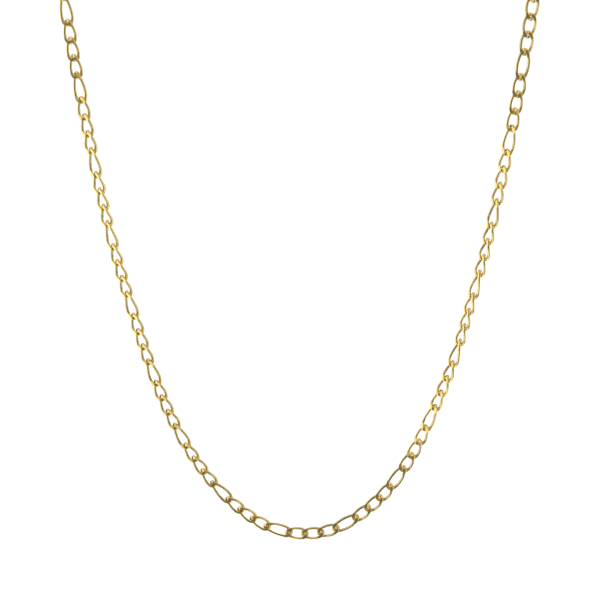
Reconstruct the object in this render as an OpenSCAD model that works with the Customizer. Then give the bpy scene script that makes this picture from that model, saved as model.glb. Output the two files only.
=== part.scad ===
// Figaro chain necklace: three short curb links, then a long one, repeated round the whole
// loop. The loop hangs from the nape: the origin is the middle of the clasp at the back of
// the neck, the front looks towards -Y, and the U of the front hangs in one upright plane.

/* [Links] */
// Width across a link, outside the wire
link_w = 2.8; // [2.7:0.05:3.2]
// Thickness of the wire at a link's ends, where it hooks into the next link
end_wire_d = 0.75; // [0.6:0.05:0.8]
// Thickness of the wire at a link's sides
side_wire_d = 0.55; // [0.4:0.05:0.65]
// Length of chain that a short link adds
short_pitch = 3.6; // [3.4:0.1:4.4]
// Length of chain that a long link adds
long_pitch = 5.2; // [4.6:0.1:8]
// Angle that a link is twisted through, from its middle to each end
link_twist = 42; // [38:1:46]
// Power of the oval that the wire follows: 1 is an ellipse, less is squarer
oval_power = 0.75; // [0.65:0.05:0.9]
// Thickness of the chain between its two ground faces
face_depth = 1.3; // [1.25:0.05:1.8]

/* [Pattern] */
// Short links between two long ones
short_run = 3; // [1:1:5]
// Repeats of the pattern in the whole chain
repeats = 31; // [24:1:32]

/* [Clasp] */
// Outer width of the clasp's ring
ring_d = 6.8; // [6:0.1:9]
// Thickness of the ring's tube
ring_tube_d = 0.9; // [0.8:0.05:1]
// Outer width of the eye on the ring
eye_d = 3.2; // [3:0.1:4]
// Thickness of the eye's wire
eye_wire_d = 0.7; // [0.5:0.05:0.8]

/* [Clearances] */
// Gap between the wires where two links meet
link_gap = 0.14; // [0.1:0.01:0.2]
// Gap between the clasp and the link that passes through it
clasp_gap = 0.12; // [0.1:0.01:0.16]

/* [Hidden] */
gold = [0.83, 0.64, 0.25];

// The route of the chain from the nape round the -X side, down the front and back up the +X
// side to the nape. Each row is a point in mm, then which way the links look there in degrees:
// their turn from the front towards -X, and their tip upwards.
ROUTE = [
    [0, 0, 0, 180, 15],
    [-13, -1.2, -0.3, 165, 16],
    [-25.6, -4.9, -1.2, 145, 17],
    [-36.7, -11.3, -3, 125, 18],
    [-44.7, -20.2, -5.8, 108, 18],
    [-49.5, -30.6, -10, 92, 16],
    [-51.4, -41.4, -15.5, 76, 12],
    [-51.2, -51.3, -23.5, 58, 10],
    [-50.2, -59, -34.5, 37, 14],
    [-47.7, -62, -50.2, 23, 20],
    [-46.1, -62, -62.6, 22, 23],
    [-44.2, -62, -75.3, 32, 24],
    [-42.1, -62, -88, 40, 24],
    [-39.6, -62, -100.5, 40, 24],
    [-36.5, -62, -112.9, 35, 24],
    [-33.1, -62, -125.3, 31, 23],
    [-28.9, -62, -137.5, 31, 20],
    [-23.2, -62, -148.9, 32, 16],
    [-15.6, -62, -158.8, 31, 16],
    [-5.5, -62, -165.8, 28, 17],
    [6.4, -62, -166.2, 24, 14],
    [16.7, -62, -159.4, 23, 10],
    [24.1, -62, -149.2, 29, 7],
    [29.3, -62, -137.4, 42, 8],
    [33.5, -62, -125.5, 58, 10],
    [36.7, -62, -112.9, 62, 14],
    [39.6, -62, -100.4, 56, 16],
    [42, -62, -87.6, 47, 16],
    [44.1, -62, -74.7, 31, 14],
    [45.8, -62, -62, 16, 12],
    [47.3, -62, -49.5, 0, 9],
    [49.2, -59, -34.5, -17, 8],
    [50.5, -51.3, -23.5, -34, 9],
    [50.9, -41.4, -15.5, -52, 12],
    [49.2, -30.6, -10, -80, 16],
    [44.4, -20.2, -5.8, -104, 18],
    [36.4, -11.3, -3, -125, 18],
    [25.4, -4.9, -1.2, -145, 17],
    [13, -1.2, -0.3, -165, 16],
    [0, 0, 0, -180, 15],
];

// Points of the smooth curve between two points of the route
CURVE_STEPS = 12;
// Angles round a link at which its wire has a ring of corners, so that its ends and its sides
// are flats, and the corners of a ring
END_ANGLE = 20;
BEND_ANGLE = 50;
SIDE_ANGLE = 76;
QUARTER_ANGLES = [END_ANGLE, BEND_ANGLE, SIDE_ANGLE];
HALF_ANGLES = concat(QUARTER_ANGLES, [for (k = [2 : -1 : 0]) 180 - QUARTER_ANGLES[k]]);
LINK_ANGLES = concat(HALF_ANGLES, [for (u = HALF_ANGLES) u + 180]);
WIRE_SIDES = 5;
// Power of the distance along a link by which its wire thickens from the sides to the ends
TAPER_POWER = 3;

// Half the oval's width, to the middle of the wire
half_w = (link_w - side_wire_d) / 2;
// Radii of the clasp's ring and eye, to the middle of the tube and of the wire
ring_r = (ring_d - ring_tube_d) / 2;
eye_r = (eye_d - eye_wire_d) / 2;
// How far the eye's wire lies past the middle of the ring's tube, so that the two are fused
eye_seat = ring_tube_d / 3;
clasp_span = 2 * ring_r + eye_seat + 2 * eye_r
    - (ring_tube_d + clasp_gap) / 2 - (eye_wire_d + clasp_gap) / 2;

// The links in order, each given by the length of chain that it adds. The joints between
// them are told by their distance along the chain from the middle of the clasp.
link_count = repeats * (short_run + 1);
pitches = [for (i = [0 : link_count - 1]) i % (short_run + 1) == 0 ? long_pitch : short_pitch];
joints = [for (i = 0, s = clasp_span / 2; i <= link_count;
    s = s + (i < link_count ? pitches[i] : 0), i = i + 1) s];
chain_length = joints[link_count] + clasp_span / 2;
left_count = floor(link_count / 2);

// A smooth curve through the route's points: between b and c it leaves b along a to c
function curve_point(a, b, c, d, t) =
    (2 * b + (c - a) * t + (2 * a - 5 * b + 4 * c - d) * t * t
    + (3 * b - a - 3 * c + d) * t * t * t) / 2;
function route_row(i) =
    i < 0 ? 2 * ROUTE[0] - ROUTE[1] :
    i >= len(ROUTE) ? 2 * ROUTE[len(ROUTE) - 1] - ROUTE[len(ROUTE) - 2] :
    ROUTE[i];
curve = concat(
    [for (i = [0 : len(ROUTE) - 2], k = [0 : CURVE_STEPS - 1])
        curve_point(route_row(i - 1), route_row(i), route_row(i + 1), route_row(i + 2), k / CURVE_STEPS)],
    [ROUTE[len(ROUTE) - 1]]);
function place_of(row) = [row[0], row[1], row[2]];
steps = [for (i = [0 : len(curve) - 2]) norm(place_of(curve[i + 1]) - place_of(curve[i]))];
run = [for (i = 0, s = 0; i < len(curve); s = s + (i < len(steps) ? steps[i] : 0), i = i + 1) s];

// The loop grows with the chain, so that the links always fill it
loop_scale = chain_length / run[len(run) - 1];
columns = [for (c = [0 : 4]) [for (i = [0 : len(curve) - 1]) [run[i] * loop_scale, curve[i][c]]]];
function place_at(s) = loop_scale * [lookup(s, columns[0]), lookup(s, columns[1]), lookup(s, columns[2])];
function face_at(s) =
    let (turn = lookup(s, columns[3]), tip = lookup(s, columns[4]))
    [-sin(turn) * cos(tip), -cos(turn) * cos(tip), sin(tip)];

function unit(v) = v / norm(v);
function squash(v, limit) = min(max(v, -limit), limit);
function signed_power(v) = sign(v) * pow(abs(v), oval_power);

// The frame of what spans two joints: its x runs along the chain and its z is the way it looks
function span_frame(from, to, face) =
    let (x = unit(to - from), z = unit(face - x * (face * x)), y = cross(z, x))
    [(from + to) / 2, x, y, z];

// The middle of the wire at angle u round a link of half length a: an oval, twisted about the
// line of the chain in proportion to the distance from its middle
function wire_middle(u, a) =
    let (
        x = a * signed_power(cos(u)) / signed_power(cos(END_ANGLE)),
        y = half_w * signed_power(sin(u)) / signed_power(sin(SIDE_ANGLE)),
        turn = -link_twist * x / a
    )
    [x, y * cos(turn), y * sin(turn)];

// A ring of corners round the wire at angle u, with the corners past the ground faces brought
// back to them
function wire_ring(u, a) =
    let (
        middle = wire_middle(u, a),
        thick = side_wire_d + (end_wire_d - side_wire_d) * pow(abs(middle[0]) / a, TAPER_POWER),
        along = unit(wire_middle(u + 1, a) - wire_middle(u - 1, a)),
        turn = -link_twist * middle[0] / a,
        sheet = [0, -sin(turn), cos(turn)],
        up = unit(sheet - along * (sheet * along)),
        out = cross(along, up)
    )
    [for (k = [0 : WIRE_SIDES - 1])
        let (
            v = k * 360 / WIRE_SIDES,
            p = middle + thick / 2 * (out * cos(v) + up * sin(v))
        )
        [p[0], p[1], squash(p[2], face_depth / 2)]];

// The corners of link i, ring after ring
function link_points(i) =
    let (
        a = (pitches[i] + end_wire_d + link_gap) / 2,
        s = (joints[i] + joints[i + 1]) / 2,
        f = span_frame(place_at(joints[i]), place_at(joints[i + 1]), face_at(s))
    )
    [for (u = LINK_ANGLES, p = wire_ring(u, a)) f[0] + f[1] * p[0] + f[2] * p[1] + f[3] * p[2]];

// Triangles of one closed link whose first corner is number first
function link_faces(first) =
    [for (j = [0 : len(LINK_ANGLES) - 1], k = [0 : WIRE_SIDES - 1])
        let (
            here = first + j * WIRE_SIDES,
            next = first + (j + 1) % len(LINK_ANGLES) * WIRE_SIDES,
            k2 = (k + 1) % WIRE_SIDES
        )
        each [[here + k, next + k2, next + k], [here + k, here + k2, next + k2]]];

// The links from number first up to number end, each a closed ring of wire
module chain_part(first, end) {
    corners = len(LINK_ANGLES) * WIRE_SIDES;
    polyhedron(
        points = [for (i = [first : end - 1]) each link_points(i)],
        faces = [for (i = [0 : end - first - 1]) each link_faces(i * corners)]);
}

module chain_left() {
    color(gold) chain_part(0, left_count);
}

module chain_right() {
    color(gold) chain_part(left_count, link_count);
}

// A round ring of wire in the x-y plane
module wire_loop(r, d) {
    rotate_extrude($fn = 48) translate([r, 0]) circle(d = d, $fn = 24);
}

// The ring and its eye, fused, each square to the end of the link that passes through it
module clasp() {
    f = span_frame(place_at(joints[link_count]), place_at(joints[0]), face_at(0));
    ring_x = ring_r - (clasp_span + ring_tube_d + clasp_gap) / 2;
    eye_x = ring_x + ring_r + eye_seat + eye_r;
    color(gold)
    multmatrix([
        [f[1][0], f[2][0], f[3][0], f[0][0]],
        [f[1][1], f[2][1], f[3][1], f[0][1]],
        [f[1][2], f[2][2], f[3][2], f[0][2]]])
    union() {
        rotate([link_twist, 0, 0]) translate([ring_x, 0, 0]) wire_loop(ring_r, ring_tube_d);
        rotate([-link_twist, 0, 0]) translate([eye_x, 0, 0]) wire_loop(eye_r, eye_wire_d);
    }
}

chain_left();
chain_right();
clasp();
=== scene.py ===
"""Figaro chain necklace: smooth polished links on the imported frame, in soft studio light.

Every link is a ring of round wire, twisted so that it lies flat against its neighbours, and
ground level on the two faces of the chain. Lengths are in millimetres until a mesh is made.
"""
import math

import bpy
import numpy as np
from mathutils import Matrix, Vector


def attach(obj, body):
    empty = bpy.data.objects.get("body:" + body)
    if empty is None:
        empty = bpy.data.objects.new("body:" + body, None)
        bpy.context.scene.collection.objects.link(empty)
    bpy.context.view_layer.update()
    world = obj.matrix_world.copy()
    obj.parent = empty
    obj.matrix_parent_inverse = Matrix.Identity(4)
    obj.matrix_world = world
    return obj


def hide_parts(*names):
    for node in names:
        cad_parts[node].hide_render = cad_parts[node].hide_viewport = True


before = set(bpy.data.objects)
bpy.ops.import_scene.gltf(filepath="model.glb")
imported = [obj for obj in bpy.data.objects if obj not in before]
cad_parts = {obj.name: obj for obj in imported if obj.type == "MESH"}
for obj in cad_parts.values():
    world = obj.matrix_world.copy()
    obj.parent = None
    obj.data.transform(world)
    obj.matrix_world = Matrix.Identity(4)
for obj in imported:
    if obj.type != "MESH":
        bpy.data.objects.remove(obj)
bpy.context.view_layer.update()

MM = 0.001

# Links: outer width, the wire at a link's ends and at its sides, the power by which it
# thickens towards the ends, the length of chain that a short and a long one add, the twist
# from the middle to each end, the power of the oval, the chain's thickness between its faces
# and the gap where two links meet
LINK_W = 2.8
END_WIRE_D = 0.75
SIDE_WIRE_D = 0.55
TAPER_POWER = 3
SHORT_PITCH = 3.6
LONG_PITCH = 5.2
LINK_TWIST = math.radians(42)
OVAL_POWER = 0.75
FACE_DEPTH = 1.3
LINK_GAP = 0.14

# Pattern: the short links that follow a long one, and how often the two repeat
SHORT_RUN = 3
REPEATS = 31
LINK_COUNT = REPEATS * (SHORT_RUN + 1)

# Clasp: a ring of tube with an eye of thinner wire, how far the eye's wire lies past the middle
# of the ring's tube, and the gap between the clasp and a link
RING_D = 6.8
RING_TUBE_D = 0.9
EYE_D = 3.2
EYE_WIRE_D = 0.7
EYE_SEAT = RING_TUBE_D / 3
CLASP_GAP = 0.12

# The route from the nape round the -X side, down the front and back: a point, and how the
# links look there in degrees, their turn from the front towards -X and their tip upwards
ROUTE = np.array([
    [0, 0, 0, 180, 15],
    [-13, -1.2, -0.3, 165, 16],
    [-25.6, -4.9, -1.2, 145, 17],
    [-36.7, -11.3, -3, 125, 18],
    [-44.7, -20.2, -5.8, 108, 18],
    [-49.5, -30.6, -10, 92, 16],
    [-51.4, -41.4, -15.5, 76, 12],
    [-51.2, -51.3, -23.5, 58, 10],
    [-50.2, -59, -34.5, 37, 14],
    [-47.7, -62, -50.2, 23, 20],
    [-46.1, -62, -62.6, 22, 23],
    [-44.2, -62, -75.3, 32, 24],
    [-42.1, -62, -88, 40, 24],
    [-39.6, -62, -100.5, 40, 24],
    [-36.5, -62, -112.9, 35, 24],
    [-33.1, -62, -125.3, 31, 23],
    [-28.9, -62, -137.5, 31, 20],
    [-23.2, -62, -148.9, 32, 16],
    [-15.6, -62, -158.8, 31, 16],
    [-5.5, -62, -165.8, 28, 17],
    [6.4, -62, -166.2, 24, 14],
    [16.7, -62, -159.4, 23, 10],
    [24.1, -62, -149.2, 29, 7],
    [29.3, -62, -137.4, 42, 8],
    [33.5, -62, -125.5, 58, 10],
    [36.7, -62, -112.9, 62, 14],
    [39.6, -62, -100.4, 56, 16],
    [42, -62, -87.6, 47, 16],
    [44.1, -62, -74.7, 31, 14],
    [45.8, -62, -62, 16, 12],
    [47.3, -62, -49.5, 0, 9],
    [49.2, -59, -34.5, -17, 8],
    [50.5, -51.3, -23.5, -34, 9],
    [50.9, -41.4, -15.5, -52, 12],
    [49.2, -30.6, -10, -80, 16],
    [44.4, -20.2, -5.8, -104, 18],
    [36.4, -11.3, -3, -125, 18],
    [25.4, -4.9, -1.2, -145, 17],
    [13, -1.2, -0.3, -165, 16],
    [0, 0, 0, -180, 15],
])

# Steps of the curve between two rows of the route, and those in which an oval's length is taken
CURVE_STEPS = 12
LENGTH_STEPS = 4000

# Mesh: the corners round a link and round its wire, the part of a quarter of the wire whose
# corners go to a flat, the least and the most that those corners spread, and the angle between
# two faces past which the edge between them is sharp
LINK_STEPS = 56
WIRE_STEPS = 20
FLAT_SHARE = math.radians(54)
LEAST_FLAT = math.radians(18)
MOST_FLAT = math.radians(80)
SHARP_ANGLE = math.radians(24)

# A difference of angles, cosines or millimetres that is only rounding
ROUNDING = 1e-6

# Camera: where it looks, how far away it is, how far it looks down, its lens, and the nearest
# and the farthest that it sees, in metres
LOOK_AT = (-0.01, -62, -111.77)
CAMERA_AWAY = 327
CAMERA_TILT = math.radians(16.75)
CAMERA_LENS = 90.96
CAMERA_NEAR = 0.01
CAMERA_FAR = 100

# Tent: its white cloth's light and how that grows along x, y and z, and for each of its two
# dark openings the way to it, how much a direction is stretched along x, y and z before it is
# measured, the opening's own light, and the cosines between which cloth turns into opening
TENT_LIGHT = 1.02
TENT_SLOPE = (-0.12, 0, -0.38)
FRONT_WAY = (0, -1, 0.05)
FRONT_STRETCH = (1.4, 1, 0.8)
FRONT_LIGHT = 0.17
FRONT_EDGES = (0.32, 0.6)
BACK_WAY = (0, 1, -0.75)
BACK_STRETCH = (1, 1, 1)
BACK_LIGHT = 0.05
BACK_EDGES = (0.45, 0.6)

# Floor: its radius and its height in metres, its sides, its colour and roughness, and the
# energy and the spread of the light from above
FLOOR_RADIUS = 12
FLOOR_HEIGHT = -0.42
FLOOR_SIDES = 96
FLOOR_COLOUR = "#f2f2f0"
FLOOR_ROUGHNESS = 0.9
FLOOR_LIGHT = 1.93
FLOOR_LIGHT_ANGLE = math.radians(90)

# Gold plate: its two colours and the size over which one drifts to the other. For the wire,
# its flats and the clasp, the roughness, the spacing of the polishing marks and their depth
PALE_GOLD = "#ffe798"
DEEP_GOLD = "#fbdd86"
DRIFT_MM = 4
WIRE_FINISH = (0.16, 0.15, 0.004)
FLAT_FINISH = (0.1, 0.15, 0.002)
CLASP_FINISH = (0.16, 0.2, 0.003)

# The least and the most share of its roughness that a spot has, the noise levels at which it
# has them, and how strongly the marks tilt the surface
ROUGH_SHARES = (0.6, 1.4)
HAZE_LEVELS = (0.35, 0.7)
MARK_STRENGTH = 0.25


def route_curve():
    """The smooth curve through the rows of the route: between two rows it is the cubic that
    leaves each one along the line between its neighbours."""
    rows = np.vstack([2 * ROUTE[0] - ROUTE[1], ROUTE, 2 * ROUTE[-1] - ROUTE[-2]])
    a, b, c, d = (rows[k:len(rows) - 3 + k, None, :] for k in range(4))
    t = (np.arange(CURVE_STEPS) / CURVE_STEPS)[None, :, None]
    cubic = (2 * b + (c - a) * t + (2 * a - 5 * b + 4 * c - d) * t ** 2
             + (3 * b - a - 3 * c + d) * t ** 3) / 2
    return np.vstack([cubic.reshape(-1, 5), ROUTE[-1:]])


def unit(v):
    """Each vector divided by its length."""
    return v / np.linalg.norm(v, axis=-1, keepdims=True)


def link_frames():
    """For every link its middle, its three axes and its pitch. The joints between links are a
    pitch apart along the curve, which is scaled so that the links and the clasp fill it. An
    x axis runs from joint to joint, and z is the way that the route says a link looks."""
    ring_r = (RING_D - RING_TUBE_D) / 2
    eye_r = (EYE_D - EYE_WIRE_D) / 2
    span = (2 * ring_r + EYE_SEAT + 2 * eye_r
            - (RING_TUBE_D + CLASP_GAP) / 2 - (EYE_WIRE_D + CLASP_GAP) / 2)
    pitch = np.where(np.arange(LINK_COUNT) % (SHORT_RUN + 1) == 0, LONG_PITCH, SHORT_PITCH)
    joint = span / 2 + np.concatenate([[0], np.cumsum(pitch)])
    curve = route_curve()
    run = np.concatenate([[0], np.cumsum(np.linalg.norm(np.diff(curve[:, :3], axis=0), axis=1))])
    scale = (joint[-1] + span / 2) / run[-1]

    def at(s, column):
        return np.interp(s, run * scale, curve[:, column])

    place = scale * np.stack([at(joint, k) for k in range(3)], -1)
    half_way = (joint[1:] + joint[:-1]) / 2
    turn, tip = np.radians(at(half_way, 3)), np.radians(at(half_way, 4))
    face = np.stack([-np.sin(turn) * np.cos(tip), -np.cos(turn) * np.cos(tip), np.sin(tip)], -1)
    x = unit(place[1:] - place[:-1])
    z = unit(face - x * (face * x).sum(-1, keepdims=True))
    axes = np.stack([x, np.cross(z, x), z], 1)
    return (place[1:] + place[:-1]) / 2, axes, pitch


def wire_middle(u, half_length):
    """The middle of the wire at angle u: an oval whose x and y are the cosine and the sine
    raised to a power below one, which squares it, times its half length and half width. It is
    turned about x by the twist times x over the half length."""
    x = half_length * np.sign(np.cos(u)) * np.abs(np.cos(u)) ** OVAL_POWER
    y = (LINK_W - SIDE_WIRE_D) / 2 * np.sign(np.sin(u)) * np.abs(np.sin(u)) ** OVAL_POWER
    turn = -LINK_TWIST * x / half_length
    return np.stack([x, y * np.cos(turn), y * np.sin(turn)], -1)


def even_angles(half_length):
    """The angles u whose points are evenly spaced along the wire."""
    u = np.linspace(0, 2 * math.pi, LENGTH_STEPS + 1)
    run = np.concatenate([[0], np.cumsum(np.linalg.norm(
        np.diff(wire_middle(u, half_length), axis=0), axis=1))])
    return np.interp(np.arange(LINK_STEPS) / LINK_STEPS * run[-1], run, u)


def link_grid(pitch):
    """A link's corners, round the oval by round the wire, and whether each lies in a ground
    face. A circle stands square to the wire at each step, whose diameter grows from the sides
    to the ends with a power of x over the half length. Where it passes a ground face, two of
    its corners lie on the edge of the flat, and those between are pressed down to it."""
    half_length = (pitch + END_WIRE_D + LINK_GAP) / 2
    u = even_angles(half_length)
    middle = wire_middle(u, half_length)
    along = unit(np.roll(middle, -1, 0) - np.roll(middle, 1, 0))
    share = np.abs(middle[:, 0]) / half_length
    radius = (SIDE_WIRE_D + (END_WIRE_D - SIDE_WIRE_D) * share ** TAPER_POWER)[:, None] / 2

    # Both are square to the wire: up is the way that the twisted oval faces there, and out
    # points away from the middle of the link
    turn = -LINK_TWIST * middle[:, 0] / half_length
    sheet = np.stack([0 * turn, -np.sin(turn), np.cos(turn)], -1)
    up = unit(sheet - along * (along * sheet).sum(-1, keepdims=True))
    out = np.cross(along, up)

    # Angles round the wire are told from its highest or its lowest point, whichever is nearer
    base = np.arange(WIRE_STEPS) * 2 * math.pi / WIRE_STEPS
    lower = np.cos(base) < -ROUNDING
    pole = np.where(lower, math.pi, 0)[None, :]
    around = (base[None, :] - pole + math.pi) % (2 * math.pi) - math.pi
    height = np.where(lower, -1, 1)[None, :] * middle[:, 2:]
    reach = radius * np.hypot(up[:, 2:], out[:, 2:])
    edge = np.arccos(np.clip((FACE_DEPTH / 2 - height) / reach, -1, 1))
    edge = np.clip(edge, LEAST_FLAT, MOST_FLAT)
    bent = np.where(
        np.abs(around) <= FLAT_SHARE + ROUNDING,
        around / FLAT_SHARE * edge,
        np.sign(around) * (edge + (np.abs(around) - FLAT_SHARE)
                           * (math.pi / 2 - edge) / (math.pi / 2 - FLAT_SHARE)))
    v = np.arctan2(out[:, 2:], up[:, 2:]) + pole + bent
    points = middle[:, None, :] + radius[..., None] * (
        up[:, None, :] * np.cos(v)[..., None] + out[:, None, :] * np.sin(v)[..., None])
    ground = np.abs(points[..., 2]) > FACE_DEPTH / 2 - ROUNDING
    points[..., 2] = np.clip(points[..., 2], -FACE_DEPTH / 2, FACE_DEPTH / 2)
    return points, ground


def ring_faces(rows, columns):
    """Quads of a closed grid: each joins a corner to the next row and the next column."""
    i, j = np.meshgrid(np.arange(rows), np.arange(columns), indexing="ij")
    i2, j2 = (i + 1) % rows, (j + 1) % columns
    return np.stack([i * columns + j, i2 * columns + j,
                     i2 * columns + j2, i * columns + j2], -1).reshape(-1, 4)


def new_piece(name, points, quads, materials, material_of_face):
    """A mesh object at the origin, from arrays of its corners in millimetres, of its quads and
    of each quad's place in the list of materials."""
    mesh = bpy.data.meshes.new(name)
    mesh.from_pydata((points * MM).tolist(), [], quads.tolist())
    for material in materials:
        mesh.materials.append(material)
    mesh.polygons.foreach_set("material_index", material_of_face.astype(np.int32))
    mesh.polygons.foreach_set("use_smooth", np.ones(len(quads), bool))
    mesh.set_sharp_from_angle(angle=SHARP_ANGLE)
    mesh.update()
    piece = bpy.data.objects.new(name, mesh)
    bpy.context.scene.collection.objects.link(piece)
    return piece


def chain_piece(name, node, first, end, materials):
    """The links from number first up to number end, in one mesh that stands for a node. Each
    corner of a link's grid goes to its middle plus the sum of its axes times the corner's x, y
    and z. A quad whose four corners lie in a ground face has the second material."""
    middles, axes, pitches = link_frames()
    quads = ring_faces(LINK_STEPS, WIRE_STEPS)
    corners, faces, kinds = [], [], []
    for pitch in (LONG_PITCH, SHORT_PITCH):
        grid, ground = link_grid(pitch)
        local, flat = grid.reshape(-1, 3), ground.ravel()[quads].all(1)
        chosen = np.arange(first, end)[pitches[first:end] == pitch]
        world = middles[chosen, None, :] + np.einsum("pk,nkc->npc", local, axes[chosen])
        start = sum(len(c) for c in corners) + np.arange(len(chosen)) * len(local)
        corners.append(world.reshape(-1, 3))
        faces.append((quads[None] + start[:, None, None]).reshape(-1, 4))
        kinds.append(np.tile(flat, len(chosen)))
    piece = new_piece(name, np.vstack(corners), np.vstack(faces), materials,
                      np.concatenate(kinds))
    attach(piece, "root")
    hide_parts(node)


def linear(hex_colour):
    """An sRGB hex colour as linear RGBA: the standard's curve undone in each channel."""
    srgb = np.array([int(hex_colour[k:k + 2], 16) for k in (1, 3, 5)]) / 255
    rgb = np.where(srgb <= 0.04045, srgb / 12.92, ((srgb + 0.055) / 1.055) ** 2.4)
    return (*rgb.tolist(), 1.0)


def add_node(tree, kind, links=(), inputs=None, **settings):
    """A node of a kind with its settings, its input values by name or number, and its links,
    each an output and the name or number of the input that it feeds."""
    node = tree.nodes.new(kind)
    for name, value in settings.items():
        setattr(node, name, value)
    for socket, value in (inputs or {}).items():
        node.inputs[socket].default_value = value
    for source, socket in links:
        tree.links.new(source, node.inputs[socket])
    return node


def gold_plate(name, roughness, marks_mm, depth_mm):
    """Yellow gold plate on brass, polished: the eye gets a metal whose colour drifts a little
    from link to link, under a faint haze of polishing marks that sets its roughness and its
    bump. Real marks are finer than the render can show, so these are drawn coarser."""
    material = bpy.data.materials.new(name)
    material.use_nodes = True
    tree = material.node_tree
    shader = tree.nodes["Principled BSDF"]
    shader.inputs["Metallic"].default_value = 1.0
    place = add_node(tree, "ShaderNodeTexCoord").outputs["Object"]
    # The plating's colour drifts over about one link. A mix of colours has them as its inputs 6
    # and 7, and its result as output 2
    drift = add_node(tree, "ShaderNodeTexNoise", [(place, "Vector")],
                     {"Scale": 1 / (DRIFT_MM * MM), "Detail": 3})
    tint = add_node(tree, "ShaderNodeMix", [(drift.outputs["Fac"], 0)],
                    {6: linear(PALE_GOLD), 7: linear(DEEP_GOLD)}, data_type="RGBA")
    tree.links.new(tint.outputs[2], shader.inputs["Base Color"])
    marks = add_node(tree, "ShaderNodeTexNoise", [(place, "Vector")],
                     {"Scale": 1 / (marks_mm * MM), "Detail": 2})
    haze = add_node(tree, "ShaderNodeMapRange", [(marks.outputs["Fac"], "Value")],
                    {"From Min": HAZE_LEVELS[0], "From Max": HAZE_LEVELS[1],
                     "To Min": ROUGH_SHARES[0] * roughness,
                     "To Max": ROUGH_SHARES[1] * roughness})
    tree.links.new(haze.outputs["Result"], shader.inputs["Roughness"])
    bump = add_node(tree, "ShaderNodeBump", [(marks.outputs["Fac"], "Height")],
                    {"Strength": MARK_STRENGTH, "Distance": depth_mm * MM})
    tree.links.new(bump.outputs["Normal"], shader.inputs["Normal"])
    return material


def studio_light():
    """A tent of white cloth, a little brighter to the left and below, with two dark openings,
    one in front, where the camera stands, and one low behind. A direction is stretched and made
    a unit long again, and its light goes by its cosine with the way to each opening: it falls
    from the cloth's to the opening's own between the two edges. The darker of the two holds,
    times one plus the direction's product with the slope."""
    world = bpy.data.worlds.new("studio")
    bpy.context.scene.world = world
    world.use_nodes = True
    tree = world.node_tree
    background = tree.nodes["Background"]
    background.inputs["Color"].default_value = (1, 1, 1, 1)
    way = add_node(tree, "ShaderNodeTexCoord").outputs["Generated"]
    levels = []
    for opening, stretch, edges, dark in (
            (FRONT_WAY, FRONT_STRETCH, FRONT_EDGES, FRONT_LIGHT),
            (BACK_WAY, BACK_STRETCH, BACK_EDGES, BACK_LIGHT)):
        stretched = add_node(tree, "ShaderNodeVectorMath", [(way, 0)], {1: stretch},
                             operation="MULTIPLY")
        even = add_node(tree, "ShaderNodeVectorMath", [(stretched.outputs[0], 0)],
                        operation="NORMALIZE")
        cosine = add_node(tree, "ShaderNodeVectorMath", [(even.outputs[0], 0)],
                          {1: Vector(opening).normalized()}, operation="DOT_PRODUCT")
        levels.append(add_node(tree, "ShaderNodeMapRange", [(cosine.outputs["Value"], "Value")],
                               {"From Min": edges[0], "From Max": edges[1],
                                "To Min": TENT_LIGHT, "To Max": dark},
                               interpolation_type="SMOOTHSTEP").outputs["Result"])
    least = add_node(tree, "ShaderNodeMath", list(zip(levels, (0, 1))), operation="MINIMUM")
    slope = add_node(tree, "ShaderNodeVectorMath", [(way, 0)], {1: TENT_SLOPE},
                     operation="DOT_PRODUCT")
    share = add_node(tree, "ShaderNodeMath", [(slope.outputs["Value"], 0)], {1: 1.0},
                     operation="ADD")
    light = add_node(tree, "ShaderNodeMath", [(least.outputs[0], 0), (share.outputs[0], 1)],
                     operation="MULTIPLY")
    # Past the floor's edge the camera sees plain cloth, while the links mirror the openings. A
    # mix of numbers has them as its inputs 2 and 3
    ray = add_node(tree, "ShaderNodeLightPath").outputs["Is Camera Ray"]
    seen = add_node(tree, "ShaderNodeMix", [(ray, 0), (light.outputs[0], 2)], {3: TENT_LIGHT})
    tree.links.new(seen.outputs[0], background.inputs["Strength"])


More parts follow.
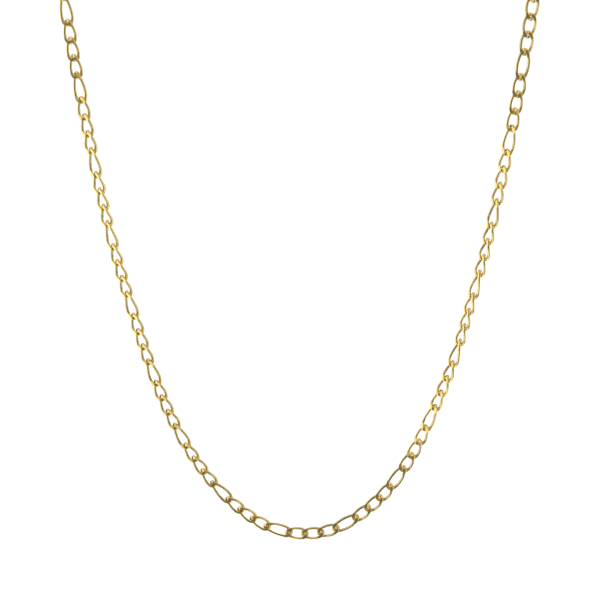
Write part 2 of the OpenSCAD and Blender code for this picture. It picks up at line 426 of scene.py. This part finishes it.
def pale_floor():
    """A round floor of matt pale paper well below the necklace, and a wide soft light from
    above, which makes it plain and bright."""
    material = bpy.data.materials.new("matt_paper_floor")
    material.use_nodes = True
    shader = material.node_tree.nodes["Principled BSDF"]
    shader.inputs["Base Color"].default_value = linear(FLOOR_COLOUR)
    shader.inputs["Roughness"].default_value = FLOOR_ROUGHNESS
    bpy.ops.mesh.primitive_circle_add(vertices=FLOOR_SIDES, radius=FLOOR_RADIUS,
                                      fill_type="NGON", location=(0, 0, FLOOR_HEIGHT))
    floor = bpy.context.object
    floor.name = "floor"
    floor.data.materials.append(material)
    # The polished links mirror the tent, and neither the floor nor its lamp
    floor.visible_glossy = False
    data = bpy.data.lights.new("floor_light", "SUN")
    data.angle = FLOOR_LIGHT_ANGLE
    data.energy = FLOOR_LIGHT
    light = bpy.data.objects.new("floor_light", data)
    light.visible_glossy = False
    bpy.context.scene.collection.objects.link(light)


def photo_camera():
    """The camera at the photograph's angle, looking down at the middle of the front."""
    data = bpy.data.cameras.new("camera")
    data.lens = CAMERA_LENS
    data.clip_start = CAMERA_NEAR
    data.clip_end = CAMERA_FAR
    camera = bpy.data.objects.new("camera", data)
    bpy.context.scene.collection.objects.link(camera)
    back = Vector((0, -math.cos(CAMERA_TILT), math.sin(CAMERA_TILT)))
    camera.location = (Vector(LOOK_AT) + CAMERA_AWAY * back) * MM
    camera.rotation_euler = (-back).to_track_quat("-Z", "Y").to_euler()
    bpy.context.scene.camera = camera


# The wire is tumbled bright, and its ground faces are a little glossier
wire_gold = gold_plate("polished_gold_plate", *WIRE_FINISH)
flat_gold = gold_plate("ground_gold_plate", *FLAT_FINISH)
clasp_gold = gold_plate("clasp_gold_plate", *CLASP_FINISH)

half = LINK_COUNT // 2
chain_piece("links_left", "chain_left", 0, half, [wire_gold, flat_gold])
chain_piece("links_right", "chain_right", half, LINK_COUNT, [wire_gold, flat_gold])
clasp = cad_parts["clasp"]
clasp.data.materials.clear()
clasp.data.materials.append(clasp_gold)

pale_floor()
studio_light()
photo_camera()
bpy.context.scene.view_settings.view_transform = "Standard"
